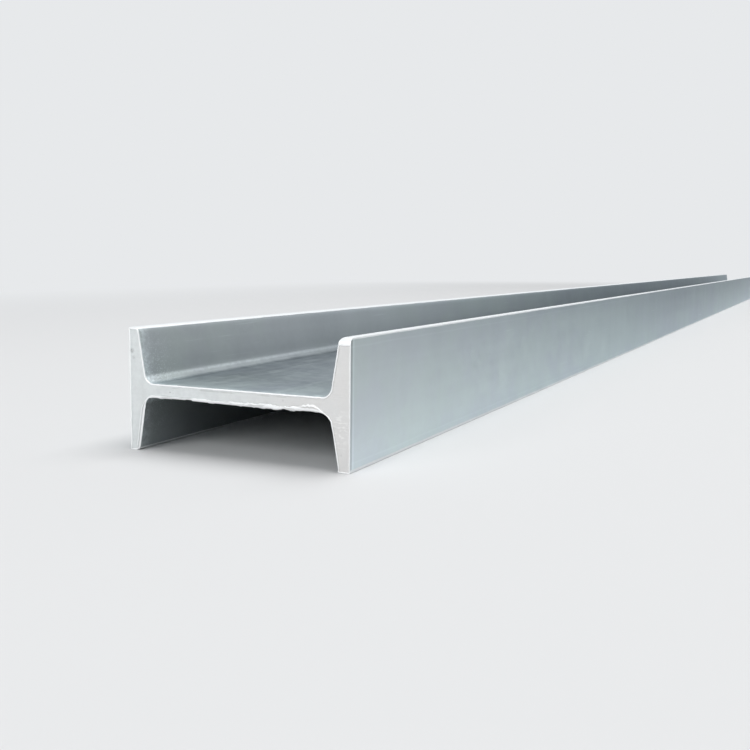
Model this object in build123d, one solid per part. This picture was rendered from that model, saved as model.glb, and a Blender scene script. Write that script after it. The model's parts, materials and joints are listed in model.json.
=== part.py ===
"""Hot rolled steel I-beam with tapered flanges, lying on its flange tips with its web level.

The frame has +X along the length, +Y across the section from flange to flange and +Z up.
The origin is on the floor, under the middle of the beam. Sizes are in millimetres.
"""

import os
from math import atan, radians, tan

from build123d import *

# Driving dimensions of the rolled section
section_depth = 240.0
flange_width = 120.0
web_thickness = 12.0
flange_thickness = 15.5
flange_slope = 1.0 / 6.0
root_radius = 10.0
toe_radius = 5.0
corner_radius = 1.0

# Stock length between the two sawn ends
beam_length = 6000.0

# Each flange stands out this far from the web's face, up and down alike
flange_reach = (flange_width - web_thickness) / 2.0

# The flange's inner face is tapered, and flange_thickness is met halfway along its reach
taper_rise = flange_slope * flange_reach / 2.0
tip_thickness = flange_thickness - taper_rise
root_thickness = flange_thickness + taper_rise

# Height of the web's middle plane above the floor
web_height = flange_width / 2.0

# A rounding may be no larger than the flat tip between the two faces of a flange leaves room for
toe_run_per_radius = tan((radians(90.0) - atan(flange_slope)) / 2.0)
corner_rounding = min(corner_radius, 0.3 * tip_thickness)
toe_rounding = min(toe_radius, 0.95 * (tip_thickness - corner_rounding) / toe_run_per_radius)


def flange_corners(side: int, above: int) -> list[tuple[tuple[float, float], float]]:
    """Give the corners of one flange half, from the outer corner of its tip to its root.

    Args:
        side: +1 for the flange on +Y, -1 for the one on -Y.
        above: +1 for the half above the web, -1 for the half below it.

    Returns:
        The corners as ((across, up), rounding radius).
    """
    outer = side * section_depth / 2.0
    tip_level = web_height + above * flange_width / 2.0
    root_level = web_height + above * web_thickness / 2.0
    return [
        ((outer, tip_level), corner_rounding),
        ((outer - side * tip_thickness, tip_level), toe_rounding),
        ((outer - side * root_thickness, root_level), root_radius),
    ]


def rolled_section() -> Sketch:
    """Draw the closed outline of the section, in the plane across the beam."""
    corners = [
        *flange_corners(side=1, above=1),
        *reversed(flange_corners(side=-1, above=1)),
        *flange_corners(side=-1, above=-1),
        *reversed(flange_corners(side=1, above=-1)),
    ]
    points = [point for point, _ in corners]
    radii = [radius for _, radius in corners]
    outline = FilletPolyline(*points, radius=radii, close=True)
    return Plane.YZ * make_face(outline)


def i_beam() -> Part:
    """Run the section along the beam, half its length to each side of the origin."""
    return extrude(rolled_section(), amount=beam_length / 2.0, both=True)


beam = i_beam()
beam.label = "i_beam"

os.makedirs("parts", exist_ok=True)
export_step(beam, "parts/i_beam.step")

print(f"tip {tip_thickness:.2f} mm, root {root_thickness:.2f} mm, volume {beam.volume / 1e9:.6f} m3")
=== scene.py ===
"""Looks of one stock length of galvanised steel I-beam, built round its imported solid.

The frame is in metres: +X runs along the beam, +Y across its section from flange to flange, and +Z up.
The beam lies on its flange tips with its web level. Its near sawn end, on -X, faces the camera.
"""

import json
import logging
import math
from dataclasses import asdict, dataclass
from enum import Enum
from functools import partial, reduce

import bmesh
import bpy
from mathutils import Euler, Matrix, Vector


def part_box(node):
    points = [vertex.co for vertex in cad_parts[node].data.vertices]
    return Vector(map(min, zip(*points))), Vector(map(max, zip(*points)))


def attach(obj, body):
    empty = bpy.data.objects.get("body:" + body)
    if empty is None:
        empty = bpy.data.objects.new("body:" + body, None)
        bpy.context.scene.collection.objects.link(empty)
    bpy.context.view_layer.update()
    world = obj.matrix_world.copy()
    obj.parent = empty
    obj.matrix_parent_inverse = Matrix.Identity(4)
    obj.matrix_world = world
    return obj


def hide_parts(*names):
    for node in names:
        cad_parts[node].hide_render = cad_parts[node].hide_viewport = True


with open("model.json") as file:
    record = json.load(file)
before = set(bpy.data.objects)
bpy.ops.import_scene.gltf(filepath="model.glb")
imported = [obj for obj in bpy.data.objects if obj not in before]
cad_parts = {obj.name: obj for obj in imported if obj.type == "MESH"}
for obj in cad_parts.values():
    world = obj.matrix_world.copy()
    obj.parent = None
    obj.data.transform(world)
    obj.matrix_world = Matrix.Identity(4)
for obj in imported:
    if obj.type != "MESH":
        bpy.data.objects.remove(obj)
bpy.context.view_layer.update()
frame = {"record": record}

MM = 0.001
HAIR = 0.1 * MM
RIGHT_ANGLE = math.radians(90.0)
NODE = "i_beam"
BODY = "root"

Triple = tuple[float, float, float]
Colour = Triple
Socket = bpy.types.NodeSocket
SocketValue = Socket | float | int | bool | str | tuple[float, ...] | bpy.types.Material | bpy.types.NodeTree

# The start and stop that ease takes, or the middle and reach that bell takes
Span = tuple[float, float]

BACKDROP: Colour = (0.80, 0.815, 0.83)
UNTURNED: Triple = (0.0, 0.0, 0.0)
PLAIN_WHITE: Colour = (1.0, 1.0, 1.0)

log = logging.getLogger("i_beam")


class BeamEnd(Enum):
    """The two sawn ends, by the side of the frame's origin that each lies on."""

    NEAR = -1
    FAR = 1


def opaque(colour: SocketValue) -> SocketValue:
    """Give a plain colour its alpha, and leave a socket as it is."""
    return (*colour, 1.0) if isinstance(colour, tuple) else colour


class NodePad:
    """Adds nodes to one tree, fills their sockets and hands back their outputs."""

    def __init__(self, tree: bpy.types.NodeTree) -> None:
        """Start on a shader or geometry tree."""
        self.tree = tree

    def add(
        self, kind: str, inputs: dict[str | int, SocketValue] | None = None, **settings: object
    ) -> bpy.types.Node:
        """Add one node.

        Args:
            kind: the node's type name.
            inputs: values or outputs of other nodes, by the input's name or place.
            settings: the node's own properties.

        Returns:
            The new node.
        """
        node = self.tree.nodes.new(kind)
        for name, value in settings.items():
            setattr(node, name, value)
        self.fill(node, inputs or {})
        return node

    def fill(self, node: bpy.types.Node, inputs: dict[str | int, SocketValue]) -> None:
        """Set some of a node's inputs.

        Args:
            node: the node.
            inputs: values or outputs of other nodes, by the input's name or place.
        """
        for key, value in inputs.items():
            if isinstance(value, Socket):
                self.tree.links.new(value, node.inputs[key])
            else:
                node.inputs[key].default_value = value

    def math(self, operation: str, *values: SocketValue) -> Socket:
        """Work out one number from others, by the Math node's operation of that name."""
        return self.add("ShaderNodeMath", dict(enumerate(values)), operation=operation).outputs[0]

    def total(self, *values: SocketValue) -> Socket:
        """Add up any number of fields."""
        return reduce(partial(self.math, "ADD"), values)

    def product(self, *values: SocketValue) -> Socket:
        """Multiply any number of fields."""
        return reduce(partial(self.math, "MULTIPLY"), values)

    def minus(self, value: SocketValue, taken: SocketValue) -> Socket:
        """Take one field from another."""
        return self.math("SUBTRACT", value, taken)

    def unsigned(self, value: SocketValue) -> Socket:
        """Drop a field's sign."""
        return self.math("ABSOLUTE", value)

    def apart(self, value: SocketValue, middle: SocketValue) -> Socket:
        """Measure how far a field is from another, to either side of it."""
        return self.unsigned(self.minus(value, middle))

    def larger(self, value: SocketValue, other: SocketValue) -> Socket:
        """Take the larger of two fields."""
        return self.math("MAXIMUM", value, other)

    def limited(self, value: SocketValue, low: SocketValue, high: SocketValue) -> Socket:
        """Keep a field between two others."""
        return self.math("MINIMUM", self.larger(value, low), high)

    def ease(self, value: SocketValue, start: SocketValue, stop: SocketValue) -> Socket:
        """Rise smoothly from 0 to 1 as value goes from start to stop, which may be the lower of the two."""
        limits = {"Value": value, "From Min": start, "From Max": stop}
        return self.add("ShaderNodeMapRange", limits, interpolation_type="SMOOTHSTEP").outputs[0]

    def bell(self, value: SocketValue, middle: SocketValue, reach: SocketValue) -> Socket:
        """Be 1 where value is at the middle, and fall smoothly to 0 at reach to either side of it."""
        return self.ease(self.apart(value, middle), reach, 0.0)

    def swing(self, value: Socket, amount: float) -> Socket:
        """Turn a field about 0.5 into one about 0 that reaches amount to each side at most."""
        return self.product(self.minus(value, 0.5), 2.0 * amount)

    def split(self, vector: Socket) -> tuple[Socket, Socket, Socket]:
        """Take a vector apart."""
        parts = self.add("ShaderNodeSeparateXYZ", {0: vector}).outputs
        return parts[0], parts[1], parts[2]

    def join(self, x: SocketValue, y: SocketValue, z: SocketValue) -> Socket:
        """Put a vector together."""
        return self.add("ShaderNodeCombineXYZ", {0: x, 1: y, 2: z}).outputs[0]

    def cross(self, first: SocketValue, second: SocketValue) -> Socket:
        """Give the vector that is square to two others."""
        return self.add("ShaderNodeVectorMath", {0: first, 1: second}, operation="CROSS_PRODUCT").outputs[0]

    def distance(self, start: SocketValue, stop: SocketValue) -> Socket:
        """Measure from one place to another."""
        return self.add("ShaderNodeVectorMath", {0: start, 1: stop}, operation="DISTANCE").outputs["Value"]

    def length(self, vector: SocketValue) -> Socket:
        """Measure a vector."""
        return self.add("ShaderNodeVectorMath", {0: vector}, operation="LENGTH").outputs["Value"]

    def scaled(self, vector: SocketValue, factor: SocketValue) -> Socket:
        """Multiply a vector or colour by one number."""
        sockets = {"Vector": vector, "Scale": factor}
        return self.add("ShaderNodeVectorMath", sockets, operation="SCALE").outputs[0]

    def noise(self, place: Socket, scale: float, detail: float = 2.0, roughness: float = 0.5) -> Socket:
        """Give smooth noise about 0.5.

        Args:
            place: where the noise is read.
            scale: its cells to a unit of place.
            detail: its octaves.
            roughness: how strong the finer octaves are.

        Returns:
            The noise as a number from 0 to 1.
        """
        settings = {"Vector": place, "Scale": scale, "Detail": detail, "Roughness": roughness}
        return self.add("ShaderNodeTexNoise", settings).outputs[0]

    def store(self, geometry: Socket, name: str, value: Socket, kind: str = "FLOAT") -> Socket:
        """Store a field on the geometry's points, and hand the geometry on."""
        sockets = {"Geometry": geometry, "Name": name, "Value": value}
        return self.add("GeometryNodeStoreNamedAttribute", sockets, data_type=kind).outputs[0]

    def stored(self, name: str, kind: str = "FLOAT") -> Socket:
        """Read back what is stored on the geometry's points."""
        return self.add("GeometryNodeInputNamedAttribute", {"Name": name}, data_type=kind).outputs[0]

    def seen_directly(self) -> Socket:
        """Tell the rays that show a surface from those that only carry its light.

        Returns:
            1 for rays from the eye and those that mirrors and glass pass on, 0 for all others.
        """
        path = self.add("ShaderNodeLightPath").outputs
        seen = self.larger(path["Is Camera Ray"], path["Is Glossy Ray"])
        return self.larger(seen, path["Is Transmission Ray"])


@dataclass(frozen=True)
class RolledSection:
    """The section's sizes, in metres, as the rolled stock has them."""

    depth: float
    width: float
    web: float
    length: float
    flange: float = 15.5 * MM
    slope: float = 1.0 / 6.0
    root_radius: float = 10.0 * MM
    toe_radius: float = 5.0 * MM
    corner_radius: float = 1.0 * MM

    @classmethod
    def from_frame(cls) -> "RolledSection":
        """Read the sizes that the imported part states.

        Returns:
            The section, with its web between the two web mounts.
        """
        low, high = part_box(NODE)
        levels = {m["name"]: m["pos_m"][2] for m in frame["record"]["mounts"]}
        web = levels["web_face_upper"] - levels["web_face_lower"]
        return cls(depth=high.y - low.y, width=high.z - low.z, web=web, length=high.x - low.x)

    @property
    def middle(self) -> float:
        """Height of the web's middle plane."""
        return self.width / 2.0

    @property
    def web_top(self) -> float:
        """Height of the web's upper face."""
        return self.middle + self.web / 2.0

    @property
    def web_under(self) -> float:
        """Height of the web's lower face."""
        return self.middle - self.web / 2.0

    @property
    def taper_rise(self) -> float:
        """How much the flange thickens from the middle of its reach to its root."""
        return self.slope * (self.width - self.web) / 4.0

    @property
    def half_depth(self) -> float:
        """From the beam's middle to a flange's outer face."""
        return self.depth / 2.0

    @property
    def tip_inside(self) -> float:
        """From the beam's middle to the inner edge of a flange's tip."""
        return self.half_depth - (self.flange - self.taper_rise)

    @property
    def root_inside(self) -> float:
        """From the beam's middle to where a flange's inner face would meet the web."""
        return self.half_depth - (self.flange + self.taper_rise)

    def corners(self) -> list[Triple]:
        """List the outline's corners, once round from the lower corner of the flange on -Y.

        Returns:
            The corners as (across, up, rounding radius).
        """
        lower = [
            (self.half_depth, 0.0, self.corner_radius),
            (self.tip_inside, 0.0, self.toe_radius),
            (self.root_inside, self.web_under, self.root_radius),
        ]
        half = [(-y, z, r) for y, z, r in lower] + list(reversed(lower))
        return half + [(-y, self.width - z, r) for y, z, r in half]


class ShaderPad(NodePad):
    """A node pad for one material, with the sizes and places that its patterns follow."""

    def __init__(self, name: str, section: RolledSection) -> None:
        """Make the material and find the surface's own coordinates.

        Args:
            name: the material's name.
            section: the beam's sizes.
        """
        self.material = bpy.data.materials.new(name)
        self.material.use_nodes = True
        super().__init__(self.material.node_tree)
        self.section = section
        self.shader = self.tree.nodes["Principled BSDF"]
        self.place = self.add("ShaderNodeTexCoord").outputs["Object"]
        self.along, self.across, self.up = self.split(self.place)

    def from_end(self) -> Socket:
        """Measure how far the surface is from the nearer sawn end."""
        return self.minus(self.section.length / 2.0, self.unsigned(self.along))

    def from_tip(self) -> Socket:
        """Measure how far the surface is from the nearer plane of the flange tips."""
        return self.minus(self.section.middle, self.apart(self.up, self.section.middle))

    def streaks(
        self, scale: Triple, detail: float = 2.0, roughness: float = 0.5, turn: Triple = UNTURNED
    ) -> Socket:
        """Give noise about 0.5 whose cells are longer one way than another.

        Args:
            scale: its cells to a metre along the beam, across it and up.
            detail: its octaves.
            roughness: how strong the finer octaves are.
            turn: how far the pattern is turned about the three axes.

        Returns:
            The noise as a number from 0 to 1.
        """
        sockets = {"Vector": self.place, "Scale": scale, "Rotation": turn}
        return self.noise(self.add("ShaderNodeMapping", sockets).outputs[0], 1.0, detail, roughness)

    def attribute(self, name: str) -> Socket:
        """Read a number that the mesh holds."""
        return self.add("ShaderNodeAttribute", attribute_name=name).outputs["Fac"]

    def mixed(self, factor: SocketValue, low: SocketValue, high: SocketValue) -> Socket:
        """Mix two colours."""
        sockets = {"Factor": factor, 6: opaque(low), 7: opaque(high)}
        return self.add("ShaderNodeMix", sockets, data_type="RGBA").outputs[2]

    def relief(self, height: Socket, depth: float, strength: float) -> None:
        """Raise the surface's normal by a height field.

        Args:
            height: the field, about 0 to 1.
            depth: how far 1 stands above 0, in metres.
            strength: how much of it shows.
        """
        bump = self.add("ShaderNodeBump", {"Strength": strength, "Distance": depth, "Height": height})
        self.fill(self.shader, {"Normal": bump.outputs[0]})

    def finish(
        self, colour: Socket, roughness: Socket, metallic: Socket | float, edge: Colour = PLAIN_WHITE
    ) -> bpy.types.Material:
        """Fill the shader and hand the material back.

        Args:
            colour: base colour.
            roughness: roughness.
            metallic: metallic.
            edge: how bright the metal stays where it is seen at a flat angle.

        Returns:
            The finished material.
        """
        self.fill(self.shader, {"Base Color": colour, "Roughness": roughness})
        self.fill(self.shader, {"Metallic": metallic, "Specular Tint": opaque(edge)})
        return self.material


def empty_tree(name: str, inputs: dict[str, str], output: str) -> bpy.types.NodeTree:
    """Make a geometry tree that has its inputs and its output, but no nodes yet.

    Args:
        name: the tree's name.
        inputs: the kind of each input, by the input's name.
        output: the name of the output, which is geometry.

    Returns:
        The tree.
    """
    tree = bpy.data.node_groups.new(name, "GeometryNodeTree")
    for label, kind in inputs.items():
        tree.interface.new_socket(label, in_out="INPUT", socket_type=f"NodeSocket{kind}")
    tree.interface.new_socket(output, in_out="OUTPUT", socket_type="NodeSocketGeometry")
    return tree


class RoundedSectionTree:
    """A node group that rounds the outline's corners, divides its flats and stores where each point lies."""

    def __init__(self) -> None:
        """Build the group."""
        inputs = {"Outline": "Geometry", "Corner Points": "Int", "Spacing": "Float"}
        self.tree = empty_tree("rounded section", inputs, "Section")
        self.build(NodePad(self.tree))

    def build(self, pad: NodePad) -> None:
        """Fill the group.

        Args:
            pad: the pad on the group's tree.
        """
        given = pad.add("NodeGroupInput").outputs
        rounding = {
            "Curve": pad.add("GeometryNodeMeshToCurve", {"Mesh": given["Outline"]}).outputs[0],
            "Count": given["Corner Points"],
            "Radius": pad.stored("corner_radius"),
            "Limit Radius": True,
        }
        rounded = pad.add("GeometryNodeFilletCurve", rounding, mode="POLY").outputs[0]

        here = pad.add("GeometryNodeInputPosition").outputs[0]
        index = pad.add("GeometryNodeInputIndex").outputs[0]
        following = pad.add("GeometryNodeOffsetPointInCurve", {"Point Index": index, "Offset": 1})
        sockets = {"Index": following.outputs["Point Index"], "Value": here}
        ahead = pad.add("GeometryNodeFieldAtIndex", sockets, data_type="FLOAT_VECTOR", domain="POINT")
        gap = pad.distance(here, ahead.outputs[0])
        cuts = pad.math("FLOOR", pad.math("DIVIDE", gap, given["Spacing"]))
        divided = pad.add("GeometryNodeSubdivideCurve", {"Curve": rounded, "Cuts": cuts}).outputs[0]

        tangent = pad.add("GeometryNodeInputTangent").outputs[0]
        held = pad.store(divided, "section", here, "FLOAT_VECTOR")
        held = pad.store(held, "outward", pad.cross(tangent, (1.0, 0.0, 0.0)), "FLOAT_VECTOR")
        pad.add("NodeGroupOutput", {"Section": held})


class StockTree:
    """A geometry tree that sweeps the rounded section over numbered stations along the beam."""

    name = "stock"
    extra_inputs: dict[str, str] = {}

    def __init__(self, section_tree: RoundedSectionTree) -> None:
        """Build the tree.

        Args:
            section_tree: the group that rounds the outline.
        """
        inputs = {
            "Geometry": "Geometry",
            "Stations": "Int",
            "Corner Points": "Int",
            "Spacing": "Float",
            "Rolled Finish": "Material",
            **self.extra_inputs,
        }
        self.tree = empty_tree(self.name, inputs, "Geometry")
        self.pad = NodePad(self.tree)
        self.given = self.pad.add("NodeGroupInput").outputs
        self.section_tree = section_tree
        self.build()

    def build(self) -> None:
        """Fill the tree."""
        raise NotImplementedError

    def swept(self) -> Socket:
        """Sweep the section over the stations, and store each point's station, place and way out.

        Returns:
            The closed mesh. Its points still lie on the plain rail.
        """
        pad = self.pad
        given = self.given
        outline = {
            "Outline": given["Geometry"],
            "Corner Points": given["Corner Points"],
            "Spacing": given["Spacing"],
        }
        section = pad.add("GeometryNodeGroup", outline, node_tree=self.section_tree.tree).outputs[0]
        line = pad.add("GeometryNodeMeshLine", {"Count": given["Stations"], "Offset": (1.0, 0.0, 0.0)})
        index = pad.add("GeometryNodeInputIndex").outputs[0]
        rail = pad.add("GeometryNodeMeshToCurve", {"Mesh": pad.store(line.outputs[0], "station", index)})
        sweep = {"Curve": rail.outputs[0], "Profile Curve": section, "Fill Caps": True}
        return pad.add("GeometryNodeCurveToMesh", sweep).outputs[0]

    def placed(self, mesh: Socket, along: Socket, across: Socket, up: Socket) -> Socket:
        """Move each point of a mesh to its place on the beam."""
        sockets = {"Geometry": mesh, "Position": self.pad.join(along, across, up)}
        return self.pad.add("GeometryNodeSetPosition", sockets).outputs[0]

    def end_with(self, mesh: Socket) -> None:
        """Realize the mesh, give it the rolled finish and hand it to the output.

        Args:
            mesh: the shaped mesh.
        """
        real = self.pad.add("GeometryNodeRealizeInstances", {"Geometry": mesh}).outputs[0]
        finish = {"Geometry": real, "Material": self.given["Rolled Finish"]}
        self.finish_output(self.pad.add("GeometryNodeSetMaterial", finish).outputs[0])

    def finish_output(self, mesh: Socket) -> None:
        """Join the last mesh to the tree's output."""
        self.pad.add("NodeGroupOutput", {0: mesh})


class RolledLengthTree(StockTree):
    """Sweeps the section evenly between two places along the beam."""

    name = "rolled length"
    extra_inputs = {"From": "Float", "To": "Float"}

    def build(self) -> None:
        """Fill the tree."""
        pad = self.pad
        mesh = self.swept()
        start = self.given["From"]
        share = pad.math("DIVIDE", pad.stored("station"), pad.minus(self.given["Stations"], 1))
        along = pad.total(start, pad.product(pad.minus(self.given["To"], start), share))
        _, across, up = pad.split(pad.stored("section", "FLOAT_VECTOR"))
        self.end_with(self.placed(mesh, along, across, up))


@dataclass(frozen=True)
class SweptPoint:
    """What a point of the sweep has stored: its station, its place in the section and the way out."""

    station: Socket
    across: Socket
    up: Socket
    out_across: Socket
    out_up: Socket


class SawnEndTree(StockTree):
    """Sweeps the last few millimetres up to a sawn end, with its rim, its burrs and its worn tips.

    Station 0 is the border of the flat cut, 1 the foot of the rim and 2 its crest.
    From 3 on, the stations run back along the rolled faces in growing steps.
    """

    name = "sawn end"
    section_sizes = ("End Plane", "Inwards", "Slab", "Half Depth", "Width", "Web", "Root Inside")
    rim_sizes = ("Seed", "Growth", "Rim Width", "Rim Recess", "Burr", "Bead", "Curl", "Strip")
    wear_sizes = ("Root Fill", "Toe Drip", "Tip Wear", "Tip Wear Depth")
    sizes = section_sizes + rim_sizes + wear_sizes
    extra_inputs = {**dict.fromkeys(sizes, "Float"), "Sawn Finish": "Material"}

    crest_station = 2
    sawn_up_to = 2.9
    slack = 0.04

    # Stations over which something comes or goes
    recess_fade: Span = (1.6, 0.0)
    # The rim's painted highlight rises and falls over these two
    white_rise: Span = (0.3, 1.7)
    white_fall: Span = (6.5, 3.5)
    inset_fade: Span = (3.6, 0.0)
    share_rise: Span = (0.0, 3.6)
    lip_rise: Span = (1.8, 4.0)
    lip_fall: Span = (7.0, 4.4)

    # Parts of the outward direction over which a face turns into the next
    downwards: Span = (-0.4, -0.9)
    burr_side: Span = (-0.3, -0.9)
    bead_side: Span = (0.3, 0.9)
    root_side: Span = (-0.05, -0.35)
    toe_side: Span = (-0.66, 0.34)
    sideways: Span = (0.5, 0.95)
    outer_side: Span = (0.5, 0.9)
    inner_side: Span = (-0.5, -0.9)

    # Places across the section, in metres from the beam's middle, minus to the right in the photograph
    burr_growth: Span = (70.0 * MM, -60.0 * MM)
    burr_end: Span = (-98.0 * MM, -84.0 * MM)
    torn_start: Span = (60.0 * MM, 0.0)
    torn_end: Span = (-90.0 * MM, -78.0 * MM)
    curl_place: Span = (-81.0 * MM, 14.0 * MM)
    fill_place: Span = (-97.0 * MM, 11.0 * MM)
    drip_place: Span = (-90.0 * MM, -100.0 * MM)
    strip_place: Span = (80.0 * MM, 100.0 * MM)
    wide_rim_place: Span = (60.0 * MM, 100.0 * MM)
    tip_wear_place: Span = (60.0 * MM, -60.0 * MM)

    # Heights and distances, in metres
    near_web: Span = (14.0 * MM, 0.5 * MM)
    web_level: Span = (30.0 * MM, 50.0 * MM)
    fill_level: Span = (30.0 * MM, 42.0 * MM)
    drip_level: Span = (8.0 * MM, 5.0 * MM)
    strip_below_middle: Span = (8.0 * MM, 20.0 * MM)
    flap_from: Span = (0.3 * MM, 1.4 * MM)
    white_wear: Span = (0.0, 0.4 * MM)
    outer_corner = 1.5 * MM
    least_tip_wear = 1.0 * MM

    def build(self) -> None:
        """Fill the tree."""
        pad = self.pad
        given = self.given
        mesh = self.swept()
        _, across, up = pad.split(pad.stored("section", "FLOAT_VECTOR"))
        _, out_across, out_up = pad.split(pad.stored("outward", "FLOAT_VECTOR"))
        point = SweptPoint(pad.stored("station"), across, up, out_across, out_up)

        behind = self.depth_behind_crest(point.station)
        recess = pad.product(given["Rim Recess"], pad.ease(point.station, *self.recess_fade))
        inset, flap = self.rim_inset(point)
        free = pad.minus(1.0, pad.stored("boxed"))
        shift = pad.product(pad.minus(self.lip_height(point), inset), free)
        moved_across = pad.total(across, pad.product(out_across, shift))
        across_now = self.held_in(moved_across, 0.0, given["Half Depth"], inset)
        middle = self.half("Width")
        up_now = self.held_in(pad.total(up, pad.product(out_up, shift)), middle, middle, inset)
        ceiling = pad.minus(self.worn_ceiling(behind, across), inset)
        over = pad.larger(pad.minus(up_now, ceiling), 0.0)
        up_now = pad.minus(up_now, pad.product(over, 1.0 - self.slack))
        along = pad.total(given["End Plane"], pad.product(given["Inwards"], pad.total(behind, recess)))
        marked = self.placed(mesh, along, across_now, up_now)

        # The stored rim says where the materials paint a near-white highlight: on the rim round the cut,
        # fading onto the rolled faces, and on the worn upper tips
        off_cut = pad.ease(point.station, *self.white_rise)
        rim = pad.product(off_cut, pad.ease(point.station, *self.white_fall))
        worn = pad.product(pad.ease(over, *self.white_wear), off_cut)
        marked = pad.store(marked, "rim", pad.larger(rim, worn))
        marked = pad.store(marked, "rim_share", pad.ease(point.station, *self.share_rise))
        self.end_with(pad.store(marked, "flap", flap))

    def half(self, name: str) -> Socket:
        """Give half of one of the tree's inputs."""
        return self.pad.product(self.given[name], 0.5)

    def spot(self, point: SweptPoint) -> Socket:
        """Give the place in the section where this end's noise is read."""
        return self.pad.join(self.given["Seed"], point.across, point.up)

    def held_in(self, value: Socket, middle: SocketValue, reach: SocketValue, inset: Socket) -> Socket:
        """Press what lies outside a band back to its edge, all but a little, so that no two points meet.

        Args:
            value: the coordinate.
            middle: the middle of the band.
            reach: half its plain width.
            inset: how much narrower it is to each side.

        Returns:
            The coordinate inside the band.
        """
        pad = self.pad
        off = pad.minus(value, middle)
        over = pad.minus(pad.unsigned(off), pad.minus(reach, inset))
        back = pad.product(pad.larger(over, 0.0), 1.0 - self.slack, pad.math("SIGN", off))
        return pad.minus(value, back)

    def depth_behind_crest(self, station: Socket) -> Socket:
        """Place each station behind the crest of the rim, which lies in the end plane.

        Args:
            station: the station's number.

        Returns:
            The distance from the end plane, in steps that grow by one factor, and 0 up to the crest.
        """
        pad = self.pad
        growth = self.given["Growth"]
        count = pad.minus(pad.minus(self.given["Stations"], 1), self.crest_station)
        step = pad.larger(pad.minus(station, self.crest_station), 0.0)
        grown = pad.minus(pad.math("POWER", growth, step), 1.0)
        whole = pad.minus(pad.math("POWER", growth, count), 1.0)
        return pad.product(self.given["Slab"], pad.math("DIVIDE", grown, whole))

    def lip_height(self, point: SweptPoint) -> Socket:
        """Raise the burrs inside the two channels, the zinc that fills one root and the drip at its toe.

        Args:
            point: the point of the sweep.

        Returns:
            How far each point stands out from the plain outline.
        """
        pad = self.pad
        given = self.given
        spot = self.spot(point)
        from_web = pad.minus(pad.apart(point.up, self.half("Width")), self.half("Web"))
        near_web = pad.ease(from_web, *self.near_web)
        under = pad.product(pad.ease(point.out_up, *self.burr_side), near_web)
        above = pad.product(pad.ease(point.out_up, *self.bead_side), near_web)
        outer = pad.minus(given["Half Depth"], self.outer_corner)
        inside = pad.product(
            pad.ease(pad.unsigned(point.across), outer, given["Root Inside"]),
            pad.ease(pad.unsigned(point.out_across), *self.sideways),
        )
        flaps = pad.ease(pad.noise(spot, 42.0, 1.0), 0.48, 0.51)
        chips = pad.ease(pad.noise(spot, 105.0, 1.0), 0.54, 0.57)
        teeth = pad.noise(spot, 330.0, 2.0, 0.6)
        ragged = pad.total(pad.product(flaps, 0.7), pad.product(chips, 0.4), pad.swing(teeth, 0.2))
        grown = pad.ease(point.across, *self.burr_growth)
        burr = pad.total(0.15, pad.product(ragged, 0.55), pad.product(grown, 0.4))
        burr = pad.product(given["Burr"], burr)
        bead = pad.product(given["Bead"], pad.total(0.5, pad.swing(teeth, 0.7)))
        fill = pad.product(
            given["Root Fill"],
            pad.bell(point.across, *self.fill_place),
            pad.ease(point.out_up, *self.root_side),
            pad.ease(point.up, *self.fill_level),
        )
        drip = pad.product(
            given["Toe Drip"],
            pad.ease(point.across, *self.drip_place),
            pad.bell(point.out_up, *self.toe_side),
            pad.ease(point.up, *self.drip_level),
        )
        height = pad.total(
            pad.product(under, burr, pad.ease(point.across, *self.burr_end)),
            pad.product(above, bead, 1.2),
            pad.product(inside, bead),
        )
        risen = pad.product(pad.larger(height, 0.0), pad.ease(point.station, *self.lip_rise))
        return pad.product(pad.total(risen, fill, drip), pad.ease(point.station, *self.lip_fall))

    def rim_inset(self, point: SweptPoint) -> tuple[Socket, Socket]:
        """Draw the outline in towards the cut, so that a rounded rim stands round it.

        Args:
            point: the point of the sweep.

        Returns:
            How far each point lies inside the plain outline, from the rim's whole width at station 0 to none
            from station 4 on, and how much of the rim there, from 0 to 1, is a wide torn flap.
        """
        pad = self.pad
        given = self.given
        spot = self.spot(point)
        middle = self.half("Width")
        uneven = pad.total(1.0, pad.swing(pad.noise(spot, 120.0, 2.0), 0.5))
        outer_left = pad.product(
            pad.ease(point.out_across, *self.outer_side), pad.ease(point.across, *self.wide_rim_place)
        )
        rim = pad.product(given["Rim Width"], pad.total(uneven, pad.product(outer_left, 0.6)))
        curl = pad.product(
            given["Curl"],
            pad.bell(point.across, *self.curl_place),
            pad.ease(point.out_up, *self.downwards),
            pad.ease(point.up, *self.web_level),
        )
        strip = pad.product(
            given["Strip"],
            pad.ease(point.across, *self.strip_place),
            pad.ease(point.out_across, *self.inner_side),
            pad.ease(point.up, *(pad.minus(middle, below) for below in self.strip_below_middle)),
        )
        torn = pad.product(
            given["Burr"],
            pad.ease(pad.noise(spot, 62.0, 4.0, 0.75), 0.44, 0.60),
            pad.ease(point.across, *self.torn_start),
            pad.ease(point.across, *self.torn_end),
            pad.ease(point.out_up, *self.downwards),
            pad.ease(point.up, *self.web_level),
        )
        wide = pad.larger(curl, strip)
        reach = pad.total(rim, wide, pad.product(torn, 0.7))
        inset = pad.product(reach, pad.ease(point.station, *self.inset_fade))
        return inset, pad.ease(wide, *self.flap_from)

    def worn_ceiling(self, behind: Socket, across: Socket) -> Socket:
        """Round the flanges' upper tips off towards the cut, as handling wears them, by a quarter ellipse.

        Args:
            behind: how far the point's station lies behind the crest of the rim.
            across: its place across the section.

        Returns:
            The greatest height of each point.
        """
        pad = self.pad
        given = self.given
        wear = pad.product(given["Tip Wear"], pad.ease(across, *self.tip_wear_place))
        most = pad.total(wear, self.least_tip_wear)
        left = pad.minus(1.0, pad.limited(pad.math("DIVIDE", behind, given["Tip Wear Depth"]), 0.0, 1.0))
        fall = pad.minus(1.0, pad.math("SQRT", pad.minus(1.0, pad.product(left, left))))
        return pad.minus(given["Width"], pad.product(most, fall))

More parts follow.
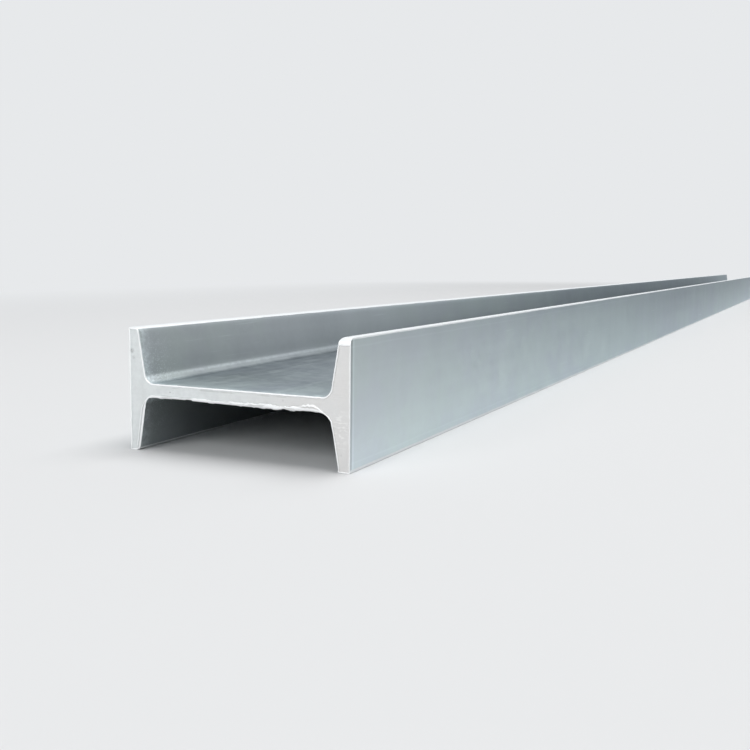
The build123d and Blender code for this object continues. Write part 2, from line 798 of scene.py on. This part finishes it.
    def finish_output(self, mesh: Socket) -> None:
        """Give the cut and its rim the sawn finish, and end the tree.

        Args:
            mesh: the mesh in its rolled finish.
        """
        sawn = self.pad.math("LESS_THAN", self.pad.stored("station"), self.sawn_up_to)
        finish = {"Geometry": mesh, "Selection": sawn, "Material": self.given["Sawn Finish"]}
        super().finish_output(self.pad.add("GeometryNodeSetMaterial", finish).outputs[0])


@dataclass(frozen=True)
class RolledZinc:
    """Galvanised rolled faces: bluish grey and semi-gloss, with soft clouds, drain bands and roll lines, and
    with painted light, painted shade and painted highlights.
    """

    blue: Colour = (0.525, 0.566, 0.592)
    green: Colour = (0.522, 0.580, 0.578)
    # The near-white of the rim and the tips, a painted highlight
    bright: Colour = (0.88, 0.90, 0.905)
    edge: Colour = (0.40, 0.46, 0.51)
    metallic: float = 0.85
    roughness: float = 0.38
    relief_depth: float = 0.06 * MM
    relief_strength: float = 0.6

    # What each mark adds to the tone, which is 1 where there is none
    cloud_tone: float = 0.07
    band_tone: float = 0.06
    line_tone: float = 0.05
    patch_tone: float = 0.04
    spangle_tone: float = 0.018
    speck_tone: float = -0.12
    scuff_tone: float = 0.10
    # Painted shade to the top and painted light at the foot of the outer faces
    top_tone: float = -0.19
    foot_tone: float = 0.33
    roll_line_tone: float = 0.05
    end_line_tone: float = 0.16
    end_edge_tone: float = -0.34
    # Painted light that grows towards each end
    end_tone: float = 0.13
    # Painted shade inside the channels
    inner_tone: float = -0.42
    # Painted light near the cut inside the channels
    frost_tone: float = 0.34
    grain_tone: float = 0.38
    # Painted highlight along each root, stronger near the ends
    root_line_tone: float = 0.04
    near_root_line_tone: float = 0.24
    # Painted shade in the roots' hollows
    hollow_tone: float = -0.16
    # Painted light on the web's faces near the cut
    mouth_tone: float = 0.30

    # Distances from the tips' planes, from the ends and from the roots, in metres
    tip_bead: Span = (2.3 * MM, 1.3 * MM)
    corner: Span = (0.6 * MM, 1.2 * MM)
    roll_line: Span = (8.5 * MM, 1.6 * MM)
    end_line: Span = (6.2 * MM, 2.2 * MM)
    end_edge: Span = (4.6 * MM, 2.8 * MM)
    end_run: Span = (2.2, 0.0)
    frost_run: Span = (20.0 * MM, 1.0 * MM)
    grain_run: Span = (70.0 * MM, 8.0 * MM)
    root_line_run: Span = (0.5, 0.0)
    mouth_run: Span = (90.0 * MM, 0.0)
    web_face: Span = (3.0 * MM, 0.5 * MM)
    root_line: Span = (5.4 * MM, 2.6 * MM)
    grain_root: Span = (2.0 * MM, 14.0 * MM)
    hollow_root: Span = (7.0 * MM, 9.0 * MM)

    def build(self, section: RolledSection) -> bpy.types.Material:
        """Make the material.

        Args:
            section: the sizes that its edge lines follow.

        Returns:
            The material.
        """
        pad = ShaderPad("rolled_zinc", section)
        clouds = pad.streaks((2.4, 8.0, 8.0), 3.0)
        bands = pad.streaks((15.0, 2.0, 2.0), 3.0, 0.6)
        lines = pad.streaks((0.7, 95.0, 95.0), 3.0, 0.6)
        patches = pad.noise(pad.place, 26.0, 4.0, 0.6)
        cells = {"Vector": pad.place, "Scale": 130.0, "Randomness": 1.0}
        spangle = pad.split(pad.add("ShaderNodeTexVoronoi", cells, feature="F1").outputs["Color"])[0]
        specks = pad.ease(pad.noise(pad.place, 380.0, 2.0), 0.74, 0.80)

        tone = pad.total(
            1.0,
            pad.swing(clouds, self.cloud_tone),
            pad.swing(bands, self.band_tone),
            pad.swing(lines, self.line_tone),
            pad.swing(patches, self.patch_tone),
            pad.swing(spangle, self.spangle_tone),
            pad.product(specks, self.speck_tone),
            pad.product(self.scuffs(pad), self.scuff_tone),
            self.flange_marks(pad),
            self.channel_marks(pad),
        )
        hue = pad.ease(pad.total(clouds, pad.swing(patches, 0.25)), 0.34, 0.66)
        # Painted highlights: the rim near the cut and the tips turn near-white, less metallic and rougher
        rim = pad.larger(pad.attribute("rim"), self.tip_beads(pad))
        colour = pad.mixed(rim, pad.scaled(pad.mixed(hue, self.blue, self.green), tone), self.bright)
        roughness = pad.total(
            self.roughness,
            pad.swing(patches, 0.08),
            pad.swing(spangle, 0.03),
            pad.swing(lines, 0.06),
            pad.product(rim, 0.1),
        )
        height = pad.total(
            pad.product(patches, 0.6),
            pad.product(lines, 0.5),
            pad.product(spangle, 0.05),
            pad.product(specks, 0.3),
        )
        pad.relief(height, self.relief_depth, self.relief_strength)
        return pad.finish(colour, roughness, pad.minus(self.metallic, pad.product(rim, 0.5)), self.edge)

    def scuffs(self, pad: ShaderPad) -> Socket:
        """Draw long thin handling marks, in a few areas only."""
        marks = pad.ease(pad.streaks((9.0, 330.0, 330.0), turn=(0.0, 0.04, 0.03)), 0.66, 0.74)
        return pad.product(marks, pad.ease(pad.noise(pad.place, 5.0, 1.0), 0.5, 0.62))

    def tip_beads(self, pad: ShaderPad) -> Socket:
        """Mark the painted highlight over the flange tips and their corners.

        Args:
            pad: the pad on the material's tree.

        Returns:
            1 on the tips, 0 elsewhere, with an edge that wanders a little.
        """
        wander = pad.swing(pad.streaks((30.0, 4.0, 4.0)), 0.5 * MM)
        wider_below = pad.product(pad.ease(pad.up, pad.section.middle, 0.0), -1.2 * MM)
        return pad.ease(pad.total(pad.from_tip(), wander, wider_below), *self.tip_bead)

    def flange_marks(self, pad: ShaderPad) -> Socket:
        """Paint light and shade on the flanges' outer faces: painted shade darker to the top and painted
        light at the foot, with a line beside the tips and round the cut, and painted light on all faces
        towards each end.

        Args:
            pad: the pad on the material's tree.

        Returns:
            What they add to the tone.
        """
        outer = pad.section.half_depth
        face = pad.ease(pad.unsigned(pad.across), *(outer - inside for inside in reversed(self.corner)))
        from_end = pad.from_end()
        wander = pad.swing(pad.streaks((6.0, 1.0, 1.0)), 1.5 * MM)
        roll_line = pad.bell(pad.total(pad.from_tip(), wander), *self.roll_line)
        heights = {"Value": pad.up, "From Min": 0.0, "From Max": pad.section.width}
        tones = {"To Min": self.foot_tone, "To Max": self.top_tone}
        # Painted light at the foot and painted shade to the top of each outer face
        marks = pad.total(
            pad.add("ShaderNodeMapRange", heights | tones).outputs[0],
            pad.product(roll_line, self.roll_line_tone),
            pad.product(pad.bell(from_end, *self.end_line), self.end_line_tone),
            pad.product(pad.ease(from_end, *self.end_edge), self.end_edge_tone),
        )
        # Painted light: every rolled face is lighter near each end and darker along the middle
        ends = pad.swing(pad.ease(from_end, *self.end_run), self.end_tone)
        return pad.total(pad.product(face, marks), ends)

    def channel_marks(self, pad: ShaderPad) -> Socket:
        """Paint the faces inside the channels: painted shade all over, painted light near the cut and on the
        web near the cut, a painted highlight along each root and painted shade in its hollow.

        Args:
            pad: the pad on the material's tree.

        Returns:
            What they add to the tone.
        """
        section = pad.section
        half_web = section.web / 2.0
        side = pad.unsigned(pad.across)
        inside = pad.ease(side, *(section.half_depth - inwards for inwards in self.corner))
        from_end = pad.from_end()
        from_middle = pad.apart(pad.up, section.middle)
        patchy = pad.noise(pad.place, 160.0, 3.0, 0.6)
        # Painted light, patchy, on the inner faces within 20 mm of the cut
        cut_light = pad.product(pad.ease(from_end, *self.frost_run), pad.total(0.25, pad.ease(patchy, 0.3, 0.7)))
        by_root = pad.bell(side, section.root_inside - self.grain_root[0], self.grain_root[1])
        grains = pad.ease(pad.noise(pad.place, 700.0, 2.0), 0.54, 0.66)
        grainy = pad.product(pad.ease(from_end, *self.grain_run), by_root, grains)
        # A painted highlight along each root fillet, stronger within half a metre of each end
        wander = pad.swing(pad.streaks((9.0, 1.0, 1.0)), 1.2 * MM)
        line = pad.bell(pad.total(from_middle, wander), half_web + self.root_line[0], self.root_line[1])
        line = pad.product(line, pad.total(0.65, pad.product(pad.ease(patchy, 0.4, 0.6), 0.5)))
        nearer = pad.product(pad.ease(from_end, *self.root_line_run), self.near_root_line_tone)
        # Painted shade in the hollow of each root fillet
        hollow = pad.bell(side, section.root_inside - self.hollow_root[0], self.hollow_root[1])
        # Painted light on the web's faces within 90 mm of the cut
        on_web = pad.ease(from_middle, *(half_web + above for above in self.web_face))
        mouth = pad.product(pad.ease(from_end, *self.mouth_run), on_web)
        # Painted shade all over the inside, painted light near the cut and on the web, a painted highlight
        # along the roots and painted shade in their hollows
        marks = pad.total(
            self.inner_tone,
            pad.product(cut_light, self.frost_tone),
            pad.product(grainy, self.grain_tone),
            pad.product(line, pad.total(self.root_line_tone, nearer)),
            pad.product(hollow, self.hollow_tone),
            pad.product(mouth, self.mouth_tone),
        )
        return pad.product(inside, marks)


@dataclass(frozen=True)
class Blemish:
    """One small soft spot on the near cut: its place, its reach, and what it adds to the tone."""

    across: float
    up: float
    reach: float
    tone: float


@dataclass(frozen=True)
class SawnZinc:
    """Galvanised sawn ends: pale, matt and softly mottled, with saw strokes, spots, a raised rim painted
    near-white as a highlight and a line of painted shade at the rim's foot.
    """

    pale: Colour = (0.725, 0.757, 0.760)
    dull: Colour = (0.675, 0.705, 0.709)
    warm: Colour = (0.705, 0.690, 0.680)
    # The near-white of the rim, a painted highlight
    bright: Colour = (0.96, 0.975, 0.98)
    metallic: float = 0.35
    roughness: float = 0.58
    relief_depth: float = 0.18 * MM
    relief_strength: float = 0.7
    blemishes: tuple[Blemish, ...] = (
        Blemish(116.8 * MM, 97.2 * MM, 3.6 * MM, -0.32),
        Blemish(114.9 * MM, 90.5 * MM, 2.8 * MM, -0.14),
        Blemish(72.4 * MM, 59.3 * MM, 1.1 * MM, -0.40),
        Blemish(-111.0 * MM, 16.0 * MM, 2.0 * MM, -0.08),
        Blemish(-52.0 * MM, 60.4 * MM, 1.6 * MM, -0.10),
    )

    # What each mark adds to the tone, which is 1 where there is none
    grain_tone: float = 0.03
    gap_tone: float = -0.12
    pit_tone: float = -0.14
    # Painted shade at the rim's foot
    groove_tone: float = -0.30
    flap_tone: float = -0.22
    stroke_tone: float = 0.17
    faint_stroke_tone: float = 0.05
    web_line_tone: float = 0.06
    dark_line_tone: float = -0.16

    # Places across the section and heights, in metres
    warm_side: Span = (60.0 * MM, -120.0 * MM)
    flake_side: Span = (0.0, -40.0 * MM)
    gap_side: Span = (5.0 * MM, 40.0 * MM)
    layer_side: Span = (50.0 * MM, -10.0 * MM)
    groove_side: Span = (118.0 * MM, 112.0 * MM)
    foot_across: Span = (-109.5 * MM, 13.0 * MM)
    foot_up: Span = (38.0 * MM, 26.0 * MM)
    below_tip: Span = (8.0 * MM, 14.0 * MM)
    above_web_under: Span = (7.0 * MM, 4.0 * MM)
    dark_line: Span = (2.6 * MM, 0.9 * MM)
    gap_off_root: float = 10.0 * MM
    lines_off_root: float = 12.0 * MM

    def build(self, section: RolledSection) -> bpy.types.Material:
        """Make the material.

        Args:
            section: the sizes that its rim and its lines follow.

        Returns:
            The material.
        """
        pad = ShaderPad("sawn_zinc", section)
        mottle = pad.noise(pad.place, 120.0, 4.0, 0.62)
        drift = pad.noise(pad.place, 16.0, 2.0)
        grain = pad.noise(pad.place, 520.0, 3.0, 0.6)
        pits = pad.ease(pad.noise(pad.place, 300.0, 1.0), 0.76, 0.82)
        strokes = self.strokes(pad)
        missing = self.rim_gaps(pad)
        rim = pad.attribute("rim")
        torn_middle = pad.bell(pad.attribute("rim_share"), 0.48, 0.20)
        tone = pad.total(
            1.0,
            pad.swing(grain, self.grain_tone),
            pad.product(missing, pad.ease(rim, 0.0, 0.3), self.gap_tone),
            strokes,
            self.spots(pad),
            self.web_lines(pad),
            pad.product(pits, self.pit_tone),
            # Painted shade at the foot of the rim
            pad.product(self.groove(pad), self.groove_tone),
            pad.product(torn_middle, pad.attribute("flap"), self.flap_tone),
        )
        base = pad.mixed(pad.ease(mottle, 0.66, 0.34), self.pale, self.dull)
        warmth = pad.total(pad.swing(drift, 0.5), pad.ease(pad.across, *self.warm_side))
        base = pad.mixed(pad.product(pad.limited(warmth, 0.0, 1.0), 0.8), base, self.warm)
        # Painted highlight: the rim and the worn tips turn near-white
        white = pad.product(self.white_rim(pad, missing), 0.95)
        colour = pad.mixed(white, pad.scaled(base, tone), self.bright)
        roughness = pad.total(self.roughness, pad.swing(mottle, 0.10), pad.product(rim, -0.16))
        height = pad.total(
            mottle, pad.product(grain, 0.35), pad.product(strokes, 5.0), pad.product(pits, -0.6)
        )
        pad.relief(height, self.relief_depth, self.relief_strength)
        return pad.finish(colour, roughness, self.metallic)

    def groove(self, pad: ShaderPad) -> Socket:
        """Mark the painted shade that shows here and there as a dark line between the cut and its rim.

        Args:
            pad: the pad on the material's tree.

        Returns:
            1 in the groove, 0 elsewhere.
        """
        top = pad.section.width
        return pad.product(
            pad.bell(pad.attribute("rim"), 0.22, 0.2),
            pad.ease(pad.noise(pad.place, 42.0, 2.0), 0.44, 0.56),
            pad.ease(pad.up, *(top - below for below in self.below_tip)),
            pad.ease(pad.across, *self.groove_side),
        )

    def rim_gaps(self, pad: ShaderPad) -> Socket:
        """Say where the web's lower edge has no bright rim: in long gaps, and in torn layers farther along.

        Args:
            pad: the pad on the material's tree.

        Returns:
            1 where the rim is missing, 0 where it is whole.
        """
        section = pad.section
        low = pad.ease(pad.up, *(section.web_under + above for above in self.above_web_under))
        ends = section.root_inside
        within = pad.ease(pad.unsigned(pad.across), ends, ends - self.gap_off_root)
        gaps = pad.ease(pad.noise(pad.place, 34.0, 2.0), 0.60, 0.46)
        gaps = pad.product(gaps, pad.ease(pad.across, *self.gap_side))
        leaves = pad.streaks((1.0, 60.0, 420.0), 3.0, turn=(math.radians(5.0), 0.0, 0.0))
        layers = pad.product(pad.ease(leaves, 0.46, 0.58), pad.ease(pad.across, *self.layer_side))
        return pad.product(low, within, pad.larger(gaps, layers))

    def white_rim(self, pad: ShaderPad, missing: Socket) -> Socket:
        """Draw the rim's painted highlight as one line, and as two with a darker middle where it is a wide
        torn flap.

        Args:
            pad: the pad on the material's tree.
            missing: where the rim has gaps.

        Returns:
            How white the surface is, from 0 to 1.
        """
        flap = pad.attribute("flap")
        share = pad.attribute("rim_share")
        one_line = pad.product(pad.ease(pad.attribute("rim"), 0.3, 0.9), pad.minus(1.0, flap))
        one_line = pad.product(one_line, pad.minus(1.0, pad.product(missing, 0.75)))
        flake = pad.ease(pad.across, *self.flake_side)
        half_gap = pad.total(0.16, pad.product(flake, -0.10))
        off_gap = pad.apart(share, pad.total(0.48, pad.product(flake, 0.10)))
        two_lines = pad.product(
            pad.ease(off_gap, half_gap, pad.total(half_gap, 0.12)),
            pad.ease(share, 0.0, 0.08),
            pad.total(1.0, pad.product(flake, pad.ease(share, 0.6, 0.5), -0.40)),
        )
        return pad.total(one_line, pad.product(two_lines, flap))

    def strokes(self, pad: ShaderPad) -> Socket:
        """Draw the saw's short pale strokes, clear at the foot of one flange and faint elsewhere.

        Args:
            pad: the pad on the material's tree.

        Returns:
            What they add to the tone.
        """
        short = pad.streaks((1.0, 170.0, 500.0), 1.0, turn=(math.radians(-15.0), 0.0, 0.0))
        fine = pad.streaks((1.0, 70.0, 640.0), turn=(math.radians(9.0), 0.0, 0.0))
        foot = pad.product(pad.bell(pad.across, *self.foot_across), pad.bell(pad.up, *self.foot_up))
        clear = pad.product(pad.ease(short, 0.50, 0.66), foot)
        worn = pad.ease(pad.noise(pad.place, 24.0, 2.0), 0.50, 0.66)
        faint = pad.product(pad.swing(fine, self.faint_stroke_tone), worn)
        return pad.total(pad.product(clear, self.stroke_tone), faint)

    def web_lines(self, pad: ShaderPad) -> Socket:
        """Draw faint long lines along the web's cut, and a broken darker one just inside its upper rim.

        Args:
            pad: the pad on the material's tree.

        Returns:
            What they add to the tone.
        """
        section = pad.section
        ends = section.root_inside
        within = pad.ease(pad.unsigned(pad.across), ends, ends - self.lines_off_root)
        long_lines = pad.swing(pad.streaks((1.0, 24.0, 430.0)), self.web_line_tone)
        broken = pad.ease(pad.streaks((1.0, 55.0, 55.0)), 0.47, 0.58)
        dark = pad.bell(pad.up, section.web_top - self.dark_line[0], self.dark_line[1])
        dark = pad.product(dark, broken, self.dark_line_tone)
        return pad.product(within, pad.total(long_lines, dark))

    def spots(self, pad: ShaderPad) -> Socket:
        """Add up the spots of the near cut.

        Args:
            pad: the pad on the material's tree.

        Returns:
            What they add to the tone, 0 on the far cut.
        """
        near = pad.ease(pad.along, 0.1, -0.1)
        uneven = pad.total(0.6, pad.ease(pad.noise(pad.place, 900.0, 2.0), 0.35, 0.65))
        tones = []
        for spot in self.blemishes:
            off = pad.join(0.0, pad.minus(pad.across, spot.across), pad.minus(pad.up, spot.up))
            tones.append(pad.product(pad.ease(pad.length(off), spot.reach, 0.0), spot.tone))
        return pad.product(pad.total(*tones), uneven, near)


@dataclass(frozen=True)
class StudioFloor:
    """The plain pale floor, which fades into the background far from the beam."""

    colour: Colour = (0.74, 0.745, 0.75)
    roughness: float = 0.9
    shine: float = 0.2
    half_side: float = 60.0
    fade: Span = (0.9, 3.6)

    def build(self, section: RolledSection) -> bpy.types.Object:
        """Make the floor.

        Args:
            section: the beam's sizes, round which the floor shows as such.

        Returns:
            The floor's object.
        """
        mesh = bpy.data.meshes.new("studio_floor")
        side = self.half_side
        corners = [(-side, -side, 0.0), (side, -side, 0.0), (side, side, 0.0), (-side, side, 0.0)]
        mesh.from_pydata(corners, [], [(0, 1, 2, 3)])
        floor = bpy.data.objects.new("studio_floor", mesh)
        bpy.context.scene.collection.objects.link(floor)
        mesh.materials.append(self.material(section))
        return floor

    def material(self, section: RolledSection) -> bpy.types.Material:
        """Make the floor's material.

        Args:
            section: the beam's sizes.

        Returns:
            Plain matt grey that turns with distance into the backdrop, for the eye and for reflections.
        """
        pad = ShaderPad("studio_floor", section)
        plain = {"Base Color": opaque(self.colour), "Roughness": self.roughness}
        pad.fill(pad.shader, plain | {"Specular IOR Level": self.shine})
        beyond = pad.larger(pad.minus(pad.unsigned(pad.along), section.length / 2.0), 0.0)
        distance = pad.length(pad.join(beyond, pad.across, 0.0))
        faded = pad.product(pad.ease(distance, *self.fade), pad.seen_directly())
        glow = pad.add("ShaderNodeEmission", {"Color": opaque(BACKDROP), "Strength": 1.0})
        both = pad.add("ShaderNodeMixShader", {0: faded, 1: pad.shader.outputs[0], 2: glow.outputs[0]})
        pad.fill(pad.tree.nodes["Material Output"], {"Surface": both.outputs[0]})
        return pad.material


@dataclass(frozen=True)
class Softbox:
    """One large lamp that faces the beam."""

    name: str
    place: Triple
    aim: Triple
    wide: float
    high: float
    power: float

    def build(self) -> bpy.types.Object:
        """Make the lamp.

        Returns:
            The lamp's object.
        """
        light = bpy.data.lights.new(self.name, "AREA")
        light.shape = "RECTANGLE"
        light.size = self.wide
        light.size_y = self.high
        light.energy = self.power
        lamp = bpy.data.objects.new(self.name, light)
        lamp.location = self.place
        lamp.rotation_euler = (Vector(self.aim) - Vector(self.place)).to_track_quat("-Z", "Y").to_euler()
        lamp.visible_camera = False
        bpy.context.scene.collection.objects.link(lamp)
        return lamp


@dataclass(frozen=True)
class Studio:
    """Floor, background and lamps: plain, pale and soft."""

    ambient: float = 0.42
    lamps: tuple[Softbox, ...] = (
        Softbox("overhead", (-0.3, -1.5, 8.0), (-0.3, 0.0, 0.0), wide=10.0, high=5.0, power=560.0),
        Softbox("front", (-9.0, 1.0, 3.0), (-3.0, 0.0, 0.0), wide=4.0, high=4.0, power=190.0),
        Softbox("back", (9.0, -4.0, 3.0), (3.0, 0.0, 0.0), wide=4.0, high=4.0, power=50.0),
    )

    def build(self, section: RolledSection) -> None:
        """Make the floor, the world and the lamps.

        Args:
            section: the beam's sizes.
        """
        StudioFloor().build(section)
        self.world()
        for lamp in self.lamps:
            lamp.build()

    def world(self) -> None:
        """Show the backdrop to the eye and to reflections, and light the rest more softly."""
        world = bpy.data.worlds.new("studio")
        world.use_nodes = True
        bpy.context.scene.world = world
        pad = NodePad(world.node_tree)
        strength = pad.total(self.ambient, pad.product(pad.seen_directly(), 1.0 - self.ambient))
        pad.fill(pad.tree.nodes["Background"], {"Color": opaque(BACKDROP), "Strength": strength})


@dataclass(frozen=True)
class PhotoCamera:
    """The camera at the photograph's place and angle.

    Its place is measured from the near end's corner on the floor, in units of the flange's width.
    """

    lens: float = 45.83
    sensor: float = 36.0
    nearest: float = 0.01
    farthest: float = 200.0
    before_end: float = 6.103
    beside_flange: float = 3.056
    above_floor: float = 1.551
    heading: float = math.radians(25.11)
    pitch: float = math.radians(-6.84)
    roll: float = math.radians(0.61)

    def build(self, section: RolledSection) -> bpy.types.Object:
        """Make the camera and set it as the scene's own.

        Args:
            section: the beam's sizes.

        Returns:
            The camera's object.
        """
        data = bpy.data.cameras.new("photo_camera")
        data.lens = self.lens
        data.sensor_width = self.sensor
        data.clip_start = self.nearest
        data.clip_end = self.farthest
        camera = bpy.data.objects.new("photo_camera", data)
        camera.location = (
            -section.length / 2.0 - self.before_end * section.width,
            -section.half_depth - self.beside_flange * section.width,
            self.above_floor * section.width,
        )
        level = Euler((RIGHT_ANGLE + self.pitch, 0.0, self.heading - RIGHT_ANGLE), "XYZ")
        camera.rotation_euler = (level.to_matrix() @ Matrix.Rotation(self.roll, 3, "Z")).to_euler()
        bpy.context.scene.collection.objects.link(camera)
        bpy.context.scene.camera = camera
        return camera


@dataclass(frozen=True)
class SawnEnd:
    """How one sawn end is divided, and how far its marks stand out or reach, 0 where it hasn't got one."""

    seed: float
    curl: float = 0.0
    strip: float = 0.0
    root_fill: float = 0.0
    toe_drip: float = 0.0
    tip_wear: float = 0.0
    tip_wear_depth: float = 7.0 * MM
    rim_width: float = 1.6 * MM
    rim_recess: float = 0.8 * MM
    burr: float = 2.4 * MM
    bead: float = 0.5 * MM
    spacing: float = 0.8 * MM
    stations: int = 15
    growth: float = 1.3

    def tree_values(self) -> dict[str, object]:
        """Give the sizes by the tree's own names for them, such as Tip Wear for tip_wear."""
        return {name.replace("_", " ").title(): value for name, value in asdict(self).items()}


@dataclass
class IBeam:
    """The beam: one rolled length and the two sawn ends that close it, all with one outline."""

    section: RolledSection
    rolled: bpy.types.Material
    sawn: bpy.types.Material
    slab: float = 16.0 * MM
    corner_points: int = 8
    body_spacing: float = 4.0 * MM
    body_station_step: float = 0.1
    near: SawnEnd = SawnEnd(
        seed=3.1,
        curl=2.9 * MM,
        strip=3.0 * MM,
        root_fill=2.4 * MM,
        toe_drip=1.7 * MM,
        tip_wear=5.5 * MM,
    )
    far: SawnEnd = SawnEnd(seed=8.7)

    def build(self) -> list[bpy.types.Object]:
        """Make the three pieces and dress them.

        Returns:
            The pieces' objects.
        """
        section_tree = RoundedSectionTree()
        body_tree = RolledLengthTree(section_tree)
        end_tree = SawnEndTree(section_tree)
        inner = self.section.length / 2.0 - self.slab
        stations = 1 + math.ceil(2.0 * inner / self.body_station_step)
        body_values = {"Spacing": self.body_spacing, "Stations": stations, "From": -inner, "To": inner}
        pieces = [self.piece("rolled_length", body_tree, body_values)]
        for end in BeamEnd:
            pieces.append(self.piece(f"sawn_end_{end.name.lower()}", end_tree, self.end_values(end)))
        return pieces

    def end_values(self, end: BeamEnd) -> dict[str, object]:
        """Say what one sawn end's tree is given.

        Args:
            end: which end.

        Returns:
            The values by the tree's input names.
        """
        marks = self.near if end is BeamEnd.NEAR else self.far
        return {
            "End Plane": end.value * self.section.length / 2.0,
            "Inwards": -float(end.value),
            "Slab": self.slab,
            "Half Depth": self.section.half_depth,
            "Width": self.section.width,
            "Web": self.section.web,
            "Root Inside": self.section.root_inside,
            "Sawn Finish": self.sawn,
            **marks.tree_values(),
        }

    def outline(self, name: str) -> bpy.types.Object:
        """Make a mesh of the section's sharp outline, which holds each corner's radius.

        Args:
            name: the object's name.

        Returns:
            The object, with one closed loop of edges.
        """
        corners = self.section.corners()
        mesh = bpy.data.meshes.new(name)
        count = len(corners)
        edges = [(i, (i + 1) % count) for i in range(count)]
        mesh.from_pydata([(0.0, y, z) for y, z, _ in corners], edges, [])
        radii = mesh.attributes.new("corner_radius", "FLOAT", "POINT")
        boxed = mesh.attributes.new("boxed", "FLOAT", "POINT")
        for index, (across, _, radius) in enumerate(corners):
            radii.data[index].value = radius
            boxed.data[index].value = float(abs(across) > self.section.half_depth - HAIR)
        piece = bpy.data.objects.new(name, mesh)
        bpy.context.scene.collection.objects.link(piece)
        return piece

    def piece(self, name: str, stock: StockTree, values: dict[str, object]) -> bpy.types.Object:
        """Run a tree on the outline, keep the result as a plain mesh and tie it to the frame.

        Args:
            name: the piece's name.
            stock: the tree that shapes it.
            values: the tree's input values, by input name.

        Returns:
            The finished piece.
        """
        piece = self.outline(name)
        modifier = piece.modifiers.new("stock", "NODES")
        modifier.node_group = stock.tree
        given = {"Corner Points": self.corner_points, "Rolled Finish": self.rolled, **values}
        for item in stock.tree.interface.items_tree:
            if item.in_out == "INPUT" and item.name in given:
                modifier[item.identifier] = given[item.name]
        graph = bpy.context.evaluated_depsgraph_get()
        made = bpy.data.meshes.new_from_object(piece.evaluated_get(graph), depsgraph=graph)
        piece.modifiers.clear()
        piece.data = made
        made.name = name
        close_up(made)
        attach(piece, BODY)
        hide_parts(NODE)
        return piece


def close_up(mesh: bpy.types.Mesh, most_side_corners: int = 4) -> None:
    """Turn all faces outwards and shade the sides smooth and the flat caps flat.

    Args:
        mesh: the mesh to finish, in place.
        most_side_corners: a face with more corners than this is a cap.
    """
    work = bmesh.new()
    work.from_mesh(mesh)
    bmesh.ops.recalc_face_normals(work, faces=work.faces)
    for face in work.faces:
        face.smooth = len(face.verts) <= most_side_corners
    work.to_mesh(mesh)
    work.free()


def main() -> None:
    """Build the camera, the studio and the beam, in that order, and report the beam's pieces."""
    logging.basicConfig(level=logging.INFO, format="%(message)s")
    bpy.context.scene.view_settings.view_transform = "Standard"
    section = RolledSection.from_frame()
    PhotoCamera().build(section)
    Studio().build(section)
    beam = IBeam(section, rolled=RolledZinc().build(section), sawn=SawnZinc().build(section))
    for piece in beam.build():
        mesh = piece.data
        log.info("%s: %d vertices, %d faces", piece.name, len(mesh.vertices), len(mesh.polygons))


if __name__ == "__main__":
    main()
